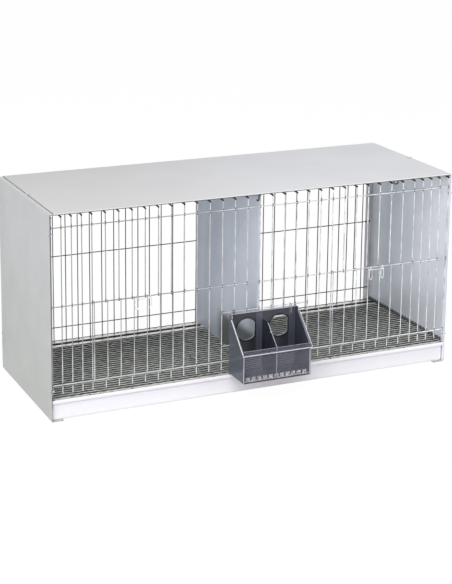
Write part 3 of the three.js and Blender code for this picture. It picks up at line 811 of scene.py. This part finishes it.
def door(side, first):
    """A drop-front door, whose wires are bent round the lower rail at their feet."""
    work = Wirework()
    for k in range(DOOR_GAPS + 1):
        x = door_x(first, k)
        upright = bowed(x, DOOR_Y, DOOR_TOP + TAIL, LOWER_RAIL, 0.3)
        steps = 15
        loop = []
        for n in range(1, steps + 1):
            angle = math.radians(180 + LOOP_TURN * n / steps)
            y, z = LOOP_RADIUS * math.cos(angle), LOOP_RADIUS * math.sin(angle)
            loop.append((x, FRONT_RAIL_Y + y, LOWER_RAIL + z))
        work.tube(upright + loop, DOOR_WIRE)
        for z in (DOOR_TOP, DOOR_BOTTOM):
            work.bead((x, (DOOR_Y + DOOR_BAR_Y) / 2 - 0.3, z), DOOR_BEAD)
    left, right = door_x(first, 0) - DOOR_OVERHANG, door_x(first, DOOR_GAPS) + DOOR_OVERHANG
    tip = DOOR_TOP + DOOR_HOOK
    work.tube(rounded([(left, DOOR_BAR_Y, tip), (left, DOOR_BAR_Y, DOOR_TOP), (right, DOOR_BAR_Y, DOOR_TOP),
                       (right, DOOR_BAR_Y, tip)], 2.0), DOOR_WIRE)
    rail(work, left, right, DOOR_BAR_Y, DOOR_BOTTOM, DOOR_WIRE, 0.05)
    work.piece(f"{side}_door_wires", f"{side}_door", [f"{side}_door"], [FRONT_WIRE, WELD])


def latch(side, first):
    """Two long loops with an eye each round the door's top wire, and a short bar across them."""
    work = Wirework()
    eye = DOOR_WIRE + 0.35 + LATCH_WIRE
    legs = [door_x(first, k) + LATCH_OFFSET for k in (3, 4)]
    for x in legs:
        steps = 28
        ring = [(x, DOOR_BAR_Y + eye * math.cos(2 * math.pi * k / steps),
                 DOOR_TOP + eye * math.sin(2 * math.pi * k / steps)) for k in range(steps)]
        work.tube(ring, LATCH_WIRE, closed=True)
        top, bottom, half = DOOR_TOP - eye - 1.2, DOOR_TOP - LATCH_DROP, LATCH_HALF
        shape = [(x - half * 0.6, top), (x - half, top - 4), (x - half, bottom + 5), (x, bottom),
                 (x + half, bottom + 5), (x + half, top - 4), (x + half * 0.6, top)]
        work.tube(rounded([(px, DOOR_BAR_Y, pz) for px, pz in shape], 2.2, 6, True), LATCH_WIRE, closed=True)
    left, right = legs[0] - LATCH_HALF, legs[1] + LATCH_HALF
    rail(work, left, right, DOOR_BAR_Y - 1.2, DOOR_TOP - LATCH_BAR_DROP, LATCH_WIRE, 0.05)
    work.piece(f"{side}_latch_wires", f"{side}_latch", [f"{side}_latch"], [CLIP])


# Clip rings and hooks
def clip_ring(node):
    """A ring bent shut round a panel's edge, with the dark ends of its wire at the front."""
    low, high = span(node)
    z = (low[2] + high[2]) / 2
    r = RING_WIRE
    left, right, near, far = low[0] + r, high[0] - r, low[1] + r, high[1] - r
    corners = [(left, near, z), (right, near, z), (right, far, z), (left, far, z)]
    tilt = chance.uniform(-1.2, 1.2)
    corners = [(x, y, h + (tilt if n in (0, 3) else -tilt) * 0.5) for n, (x, y, h) in enumerate(corners)]
    work = Wirework()
    work.tube(rounded(corners, 2.2, 6, True), r, closed=True, sides=12)
    for x, y, h in corners[:2]:
        work.bead((x, y + 0.6, h), CLIP_BEAD)
    work.piece(node + "_wire", "body", [node], [CLIP, DARK_CLIP])


def roof_hook(node, rise):
    low, high = span(node)
    y, r = (low[1] + high[1]) / 2, HOOK_WIRE
    left, right = low[0] + r, high[0] - r
    bottom = low[2] + r
    corner = (right - left) / 2
    work = Wirework()
    points = [(right, y, high[2]), (right, y, bottom), (left, y, bottom), (left, y, bottom + rise)]
    work.tube(rounded(points, corner, 8), ROOF_HOOK_WIRE, sides=12)
    work.piece(node + "_wire", "body", [node], [DARK_CLIP])


def feeder_hook(node):
    low, high = span(node)
    x, r = (low[0] + high[0]) / 2, HOOK_WIRE
    inner, outer, top = low[1] + r, high[1] - r, high[2] - r
    work = Wirework()
    points = [(x, inner, low[2]), (x, inner, top), (x, outer, top), (x, outer, top - 9)]
    work.tube(rounded(points, 2.4, 6), r, sides=12)
    work.piece(node + "_wire", "feeder", [node], [HOOK_CLIP])


# Wire floor
def wire_floor():
    """A net of crimped long wires on cross wires, with two bright flat strips near its back."""
    work = Wirework()
    cross_z, long_z = FLOOR_LOW[2] + FLOOR_CROSS, FLOOR_HIGH[2] - FLOOR_LONG
    long_x = FLOOR_HIGH[0]
    front, back = FLOOR_LOW[1], FLOOR_HIGH[1]
    cross_xs = [-long_x + 3, long_x - 3] + [CROSS_FIRST + k * CROSS_SPACING for k in range(CROSS_COUNT)]
    for x in cross_xs:
        steps = 6
        work.tube([(x + chance.uniform(-0.3, 0.3), front + (back - front) * k / steps, cross_z)
                   for k in range(steps + 1)], FLOOR_CROSS, sides=8, slot=1)
    for k in range(FLOOR_GAPS + 1):
        y = front + FLOOR_TAIL + k * (back - front - 2 * FLOOR_TAIL) / FLOOR_GAPS
        z = long_z + (LAST_RAISED if k == FLOOR_GAPS else 0)
        phase, steps = chance.uniform(0, 6.3), 180
        points = []
        for n in range(steps + 1):
            x = -long_x + 2 * long_x * n / steps
            across, up = CRIMP_ACROSS * math.sin(n * 1.3 + phase), CRIMP_UP * math.sin(n * 1.9 + phase)
            points.append((x, y + across, z + up))
        # The dark wires take the weld's dark material: painted shade.
        work.tube(points, FLOOR_SHOWN, sides=8, slot=1 if k in DARK_WIRES else 0)
        for x in cross_xs:
            work.bead((x, y, (cross_z + long_z) / 2), FLOOR_BEAD, around=6, levels=4)
    work.piece("wire_floor_net", "wire_floor", ["wire_floor"], [FLOOR_WIRE, FLOOR_WELD_AND_SHADE])
    strips = []
    for near, far in STRIPS_FROM_BACK:
        top = FLOOR_HIGH[2] + STRIP_RISE
        outline = [(back - far, top - STRIP_THICK), (back - far, top - 0.3), (back - far + 0.8, top),
                   (back - near - 0.8, top), (back - near, top - 0.3), (back - near, top - STRIP_THICK)]
        strips.append(prism(outline, 5 - long_x, long_x - 5))
    detail("wire_floor_strips", strips, "wire_floor", FLOOR_STRIP)


# Roof: one sheet with rounded hems, drawn along the cage, and dark lines of painted shadow at its ends and
# front
def roof():
    thick, reach = ROOF_THICK, HEM_REACH
    top, low, back = ROOF_HIGH[2], ROOF_LOW[2], ROOF_HIGH[1]
    fold = (top - low) / 2
    front_arc = arc(fold, low + fold, fold, 90, 270, 8)
    back_arc = arc(back - fold, low + fold, fold, -90, 90, 8)
    front_hem = front_arc + [(reach, low), (reach, low + thick), (reach - 0.2, top - thick)]
    far = back - reach
    back_hem = [(far + 0.2, top - thick), (far, low + thick), (far, low)] + back_arc
    mesh = mesh_of("roof_sheet", [prism(front_hem + back_hem, ROOF_LOW[0], ROOF_HIGH[0])])
    hem_y, hem_z = place(0, 0.62 * fold, 0).y + 0.012, place(0, 0, top - 0.9 * fold).z
    slots = [1 if f.center.z < hem_z and f.center.y < hem_y else 0 for f in mesh.polygons]
    finished("roof_sheet", mesh, "body", ["roof_panel"], [ROOF, HEM], slots)
    # Painted shadow: dark lines along the roof's ends and under its front hem.
    shadow_lines = Wirework()
    left, right = ROOF_LOW[0], ROOF_HIGH[0]
    for x in (left - 0.2, right + 0.2):
        shadow_lines.tube([(x, 3 + (back - 6) * k / 12, top - 0.55) for k in range(13)], 0.55)
    shadow_lines.tube([(left + 1 + (right - left - 2) * k / 24, 1.3, low + 0.1) for k in range(25)], 0.8)
    shadow_lines.piece("roof_shadow_lines", "body", [], [ROOF_SHADOW_LINE])


# Tray: lofted plastic shell with rounded corners, a rim and a lip along its front
def tray_loop(inset, z):
    """Level outline of the tray's body, so far in from its outside."""
    x0, x1 = TRAY_LOW[0] + inset, TRAY_HIGH[0] - inset
    y0, y1 = TRAY_LOW[1] + 3.0 + inset, TRAY_HIGH[1] - inset
    r = max(TRAY_CORNER - inset, 0.8)
    centres = ((x1 - r, y1 - r), (x0 + r, y1 - r), (x0 + r, y0 + r), (x1 - r, y0 + r))
    points = []
    for quarter, (x, y) in enumerate(centres):
        points += arc(x, y, r, 90 * quarter, 90 * quarter + 90, 5)
    return [place(x, y, z) for x, y in points]


def tray():
    low, top = TRAY_LOW[2], TRAY_HIGH[2]
    outside = [(4.0, low), (1.6, low + 0.5), (0.4, low + 2.2), (0.0, low + 5)]
    rim = [(0.0, top - 0.9), (0.3, top - 0.3), (0.9, top), (6.1, top), (6.7, top - 0.3), (7.0, top - 0.9),
           (7.0, top - 2.4), (6.6, top - 3.0)]
    inside = [(2.6, top - 3.2), (2.5, top - 4.0), (2.5, low + 6), (3.4, low + 3.4), (6.0, low + 2.5)]
    rings = [tray_loop(inset, z) for inset, z in outside + rim + inside]
    count = len(rings[0])
    verts = [v for ring in rings for v in ring]
    faces = [tuple(range(count))[::-1], tuple(range((len(rings) - 1) * count, len(rings) * count))]
    for r in range(len(rings) - 1):
        for k in range(count):
            n = (k + 1) % count
            faces.append((r * count + k, r * count + n, (r + 1) * count + n, (r + 1) * count + k))
    lip_y0, lip_y1, lip_low = TRAY_LOW[1], TRAY_LOW[1] + LIP_DEPTH, top - LIP_DROP
    lip = arc(lip_y0 + 1.5, top - 1.5, 1.5, 90, 180, 5) + arc(lip_y0 + 1.2, lip_low + 1.2, 1.2, 180, 270, 4)
    lip += [(lip_y1, lip_low), (lip_y1, top)]
    mesh = mesh_of("tray_shell", [(verts, faces), prism(lip, TRAY_LOW[0], TRAY_HIGH[0])])
    inner_top = place(0, 0, top - 3.1).z
    y0, y1 = place(0, TRAY_LOW[1] + 5.2, 0).y, place(0, TRAY_HIGH[1] - 2.2, 0).y
    x1, side_x, outer = (TRAY_HIGH[0] - 2.2) * MM, (TRAY_HIGH[0] - 8) * MM, place(0, 0, low + 2.0).z
    slots = []
    # The inside and the side rims take the dark inside material: painted shade.
    for f in mesh.polygons:
        within = outer < f.center.z < inner_top and y0 < f.center.y < y1 and abs(f.center.x) < x1
        side_rim = f.center.z > inner_top and abs(f.center.x) > side_x and y0 < f.center.y
        slots.append(1 if within or side_rim else 0)
    finished("tray_shell", mesh, "tray", ["tray_walls", "tray_bottom"], [TRAY, TRAY_INSIDE], slots)


# Side panels
PANEL_FACE = 499
FLANGE_FROM = 350


def panel_slot(centre, normal):
    """Finish of each face: 0 outside, 1 inside, 2 front edge, 3 foot, 4 back flange, 5 ledge by the roof."""
    y, z = (centre.y - FRONT) / MM, centre.z / MM
    outward = normal.x * math.copysign(1, centre.x)
    if normal.z > 0.9 and z > ROOF_LOW[2]:
        return 5
    if outward > 0.9 and abs(centre.x) / MM > PANEL_FACE or z > ROOF_LOW[2] - 0.8:
        return 0
    if z < 1.5:
        return 3
    if normal.y < -0.5 and y < 1:
        return 2
    return 4 if normal.y < -0.5 and y > FLANGE_FROM else 1


# Feed trough
LEFT, RIGHT = SHELL_LOW[0] + 4, SHELL_HIGH[0] - 4
FACE, REAR = SHELL_LOW[1] + 3, SHELL_HIGH[1]
BASE, TOP = SHELL_LOW[2], SHELL_HIGH[2]
SHELL_THICK = 2.0
RIDGE_TOP = BASE + 68
STRIP_TOP = BASE + 76
SLANT_Y, SLANT_TOP = REAR - 14.5, TOP - 10
HOLE_ASIDE = 41.7
HOLE_X = [(LEFT + RIGHT) / 2 + side * HOLE_ASIDE for side in (-1, 1)]
HOLE_Z = BASE + 100
HOLE_RADIUS, HOLE_FLAT = 25.5, 20.0
PLATE_X = (PARTITION_LOW[0] + PARTITION_HIGH[0]) / 2
PLATE_FRONT, PLATE_TOP = PARTITION_LOW[1], PARTITION_HIGH[2]
PLATE_HALF = 1.05
PLATE_CLEAR = 1.4
RIM_WIRE = 1.7
BACK_RIBS = 7
BACK_RIB_PITCH = 4.4
BACK_STRIP_ASIDE = 23.5


def shell_slot(centre, normal):
    """Finish of each face: 0 smoke, 1 side, 2 front, 3 ridge, 4 corner, 5 top rim."""
    x, y, z = centre.x / MM, (centre.y - FRONT) / MM, centre.z / MM
    if x > RIGHT + 0.05:
        return 3
    if x < LEFT - 0.05:
        return 1
    if y < FACE - 0.1:
        return 3
    if y < FACE + SHELL_THICK + 0.1 and z < STRIP_TOP + 0.1:
        if abs(normal.y) > 0.9:
            return 2
        if normal.z > 0.9 and z > STRIP_TOP - 1:
            return 4
    if abs(normal.x) > 0.9 and (x < LEFT + 0.1 or x > RIGHT - 0.1):
        return 1
    for hole in HOLE_X:
        near = math.hypot(x - hole, z - HOLE_Z) < HOLE_RADIUS + 1
        if near and abs(normal.y) < 0.3 and y > REAR - SHELL_THICK:
            return 4
    return 5 if normal.z > 0.9 and z > TOP - 0.5 else 0


def hole_outline(x, z, radius, flat, y):
    """A feed hole's edge: a circle with a flat at its right, so far from the middle."""
    turn, steps = math.acos(flat / radius), 28
    points = []
    for k in range(steps + 1):
        a = turn + (2 * math.pi - 2 * turn) * k / steps
        points.append((x + radius * math.cos(a), y, z + radius * math.sin(a)))
    return points


def feeder_rims():
    """Rounded bead round each feed hole, dark with painted shade, and a thicker rim along the top of the back
    wall, paler with painted light.
    """
    rims = Wirework()
    for x in HOLE_X:
        outline = hole_outline(x, HOLE_Z, HOLE_RADIUS + 2.0, HOLE_FLAT + 2.0, REAR - SHELL_THICK - 0.1)
        rims.tube(rounded(outline, 2.0, 2, True), RIM_WIRE, closed=True)
    rims.piece("feeder_hole_rims", "feeder", [], [SMOKE_DARK])
    y = REAR - SHELL_THICK
    outline = arc(y, TOP - 1.8, 1.5, 90, 270, 6) + [(y + 0.6, TOP - 3.3), (y + 0.6, TOP - 0.3)]
    detail("feeder_top_rim", [prism(outline, LEFT + 0.4, RIGHT - 0.4)], "feeder", TOP_RIM)


def feeder_lines():
    """Painted highlights: thin pale beads laid on the plastic's edges where they catch the light."""
    bright, corner = Wirework(), Wirework()
    lip = FACE - 2.4
    bright.tube([(LEFT - 3.4, lip, RIDGE_TOP - 2.1), (RIGHT + 3.4, lip, RIDGE_TOP - 2.1)], 1.0, sides=12)
    slant = [(SLANT_Y - 0.6, SLANT_TOP - 0.8), (FACE - 1.0, RIDGE_TOP - 0.8)]
    bright.tube([(LEFT - 1.4, y, z) for y, z in slant], 0.95, sides=12)
    bright.tube([(RIGHT + 3.2, y, z) for y, z in slant], 0.6, sides=12)
    bright.piece("feeder_bright_edges", "feeder", [], [EDGE])
    for x, radius in ((LEFT + 0.7, 0.85), (RIGHT - 2.8, 0.7), (RIGHT - 0.3, 0.5)):
        corner.tube([(x, FACE + 0.3, BASE + 1), (x, FACE + 0.3, RIDGE_TOP - 3.2)], radius, sides=12)
    corner.tube(rounded([(PLATE_X, REAR - 30, PLATE_TOP), (PLATE_X, PLATE_FRONT + 0.2, STRIP_TOP - 0.4),
                         (PLATE_X, PLATE_FRONT + 0.2, BASE + 15)], 1.5), 0.75, sides=12)
    for x in (LEFT + 1, RIGHT - 1):
        corner.tube([(x, SLANT_Y, TOP - 1.2), (x, SLANT_Y, SLANT_TOP + 1.0)], 0.9, sides=12)
    corner.piece("feeder_corner_edges", "feeder", [], [CORNER])


def feeder_back_relief():
    """Fine level ribs low on the back wall and a raised strip to the right of each hole."""
    halves = ((LEFT + SHELL_THICK + 0.4, PLATE_X - PLATE_CLEAR),
              (PLATE_X + PLATE_CLEAR, RIGHT - SHELL_THICK - 0.4))
    y = REAR - SHELL_THICK
    ribs = []
    for x0, x1 in halves:
        for k in range(BACK_RIBS):
            z = BASE + 5 + k * BACK_RIB_PITCH
            outline = [(y + 0.3, z - 1.0), (y - 0.7, z - 0.5), (y - 0.7, z + 0.5), (y + 0.3, z + 1.0)]
            ribs.append(prism(outline, x0, x1))
    detail("feeder_back_ribs", ribs, "feeder", SMOKE_RIBS)
    outline = [(y - 0.9, BASE + 42), (y - 0.9, TOP - 5), (y + 0.3, TOP - 4.4), (y + 0.3, BASE + 41.4)]
    strips = [prism(outline, hole + BACK_STRIP_ASIDE, x1) for hole, (_, x1) in zip(HOLE_X, halves)]
    detail("feeder_back_strips", strips, "feeder", SMOKE_STRIP)


def plate_slot(centre, _):
    """Finish of each face: 0 plate, 1 knob."""
    return 1 if abs(centre.x / MM - PLATE_X) > PLATE_HALF else 0


def feeder():
    softened("feeder_shell_smoke", "feeder_shell", "feeder",
             [SMOKE, SMOKE_SIDE, SMOKE_FRONT, RIDGE, CORNER, TOP_RIM], 0.3, shell_slot)
    softened("feeder_partition_smoke", "feeder_partition", "feeder", [SMOKE_DARK, EDGE], 0.3, plate_slot)
    softened("feeder_comb_ribs", "feeder_comb", "feeder", [COMB], 0.5)
    feeder_rims()
    feeder_lines()
    feeder_back_relief()


roof()
for panel_side in ("left", "right"):
    softened(f"{panel_side}_panel_sheet", f"{panel_side}_side_panel", "body",
             [OUTSIDE, INSIDE, PANEL_EDGE, FOOT, FLANGE, LEDGE], 0.3, panel_slot)
softened("divider_sheet", "divider_panel", "body", [DIVIDER], 0.25)
front_grid()
back_grid()
for door_side, door_first in DOOR_FIRST.items():
    door(door_side, door_first)
    latch(door_side, door_first)
for ring_node in sorted(n for n in frame["nodes"] if n.endswith("_ring")):
    clip_ring(ring_node)
roof_hook("centre_roof_hook", 4)
roof_hook("right_roof_hook", 8)
wire_floor()
tray()
feeder()
for hook_node in ("feeder_left_hook", "feeder_right_hook"):
    feeder_hook(hook_node)


# Floor and light
def floor():
    size = 30.0
    corners = [(-size, -size, 0), (size, -size, 0), (size, size, 0), (-size, size, 0)]
    mesh = bpy.data.meshes.new("studio_floor")
    mesh.from_pydata(corners, [], [(0, 1, 2, 3)])
    plane = added("studio_floor", mesh)
    material = bpy.data.materials.new("studio_floor")
    material.use_nodes = True
    nodes, links = material.node_tree.nodes, material.node_tree.links
    nodes.clear()
    output = nodes.new("ShaderNodeOutputMaterial")
    paper = nodes.new("ShaderNodeBsdfDiffuse")
    paper.inputs["Color"].default_value = FLOOR_PAPER
    glow = nodes.new("ShaderNodeEmission")
    glow.inputs["Strength"].default_value = FLOOR_GLOW
    share = nodes.new("ShaderNodeMath")
    share.operation = "MULTIPLY"
    share.inputs[1].default_value = FLOOR_GLOW_SHARE
    links.new(seen_directly(nodes, links), share.inputs[0])
    mixed(nodes, links, share.outputs["Value"], paper.outputs["BSDF"], glow.outputs["Emission"], output)
    mesh.materials.append(material)


def mixed(nodes, links, factor, first, second, output):
    """Links two shaders to the output, mixed by the factor."""
    mix = nodes.new("ShaderNodeMixShader")
    for source, socket in zip((factor, first, second), mix.inputs):
        links.new(source, socket)
    links.new(mix.outputs["Shader"], output.inputs["Surface"])


def seen_directly(nodes, links):
    """1 for camera, mirror and see-through rays, 0 for the rays that light the object."""
    path = nodes.new("ShaderNodeLightPath")
    total = path.outputs["Is Camera Ray"]
    for ray in ("Is Glossy Ray", "Is Transmission Ray"):
        add = nodes.new("ShaderNodeMath")
        add.operation = "MAXIMUM"
        links.new(total, add.inputs[0])
        links.new(path.outputs[ray], add.inputs[1])
        total = add.outputs["Value"]
    return total


def world():
    sky = bpy.data.worlds.new("studio")
    bpy.context.scene.world = sky
    sky.use_nodes = True
    nodes, links = sky.node_tree.nodes, sky.node_tree.links
    nodes.clear()
    output = nodes.new("ShaderNodeOutputWorld")
    soft, white = nodes.new("ShaderNodeBackground"), nodes.new("ShaderNodeBackground")
    soft.inputs["Color"].default_value = SKY_COLOUR
    soft.inputs["Strength"].default_value = SKY_LEVEL
    white.inputs["Strength"].default_value = 1.0
    direct = seen_directly(nodes, links)
    mixed(nodes, links, direct, soft.outputs["Background"], white.outputs["Background"], output)


def lamp(name, location, power, size, colour):
    data = bpy.data.lights.new(name, "AREA")
    data.energy, data.size, data.color = power, size, colour
    light = added(name, data)
    light.location = location
    light.rotation_euler = (Vector(LAMP_TARGET) - Vector(location)).to_track_quat("-Z", "Y").to_euler()


# Camera: the photograph's viewpoint, fitted to the cage's corners with a lens axis near the picture's middle
PICTURE = (452, 584)
CAMERA_PLACE = (-1509.6, -3104.1, 1337.9)
YAW, PITCH, ROLL = (math.radians(a) for a in (24.58, 12.935, 0.647))
FOCAL_PIXELS = 1583.3
AXIS_PIXEL = (226, 160)


def camera():
    data = bpy.data.cameras.new("photo_view")
    data.sensor_width = 36
    data.lens = FOCAL_PIXELS * data.sensor_width / PICTURE[1]
    data.shift_x = (PICTURE[0] / 2 - AXIS_PIXEL[0]) / PICTURE[1]
    data.shift_y = (AXIS_PIXEL[1] - PICTURE[1] / 2) / PICTURE[1]
    ahead = Vector((math.sin(YAW) * math.cos(PITCH), math.cos(YAW) * math.cos(PITCH), -math.sin(PITCH)))
    level = Vector((math.cos(YAW), -math.sin(YAW), 0))
    upward = level.cross(ahead)
    right = level * math.cos(ROLL) + upward * math.sin(ROLL)
    up = upward * math.cos(ROLL) - level * math.sin(ROLL)
    turn = Matrix((right, up, -ahead)).transposed().to_4x4()
    view = added("photo_view", data)
    view.matrix_world = Matrix.Translation(place(*CAMERA_PLACE)) @ turn
    bpy.context.scene.camera = view


floor()
world()
lamp("key", (-1.4, -2.2, 3.3), 95, 2.4, (1.0, 0.99, 0.97))
lamp("front", (-3.1, -1.75, 0.9), 56, 1.8, (0.98, 0.99, 1.0))
lamp("side", (1.3, -1.5, 0.4), 6, 0.8, (1.0, 0.99, 0.99))
camera()
bpy.context.scene.view_settings.view_transform = "Standard"
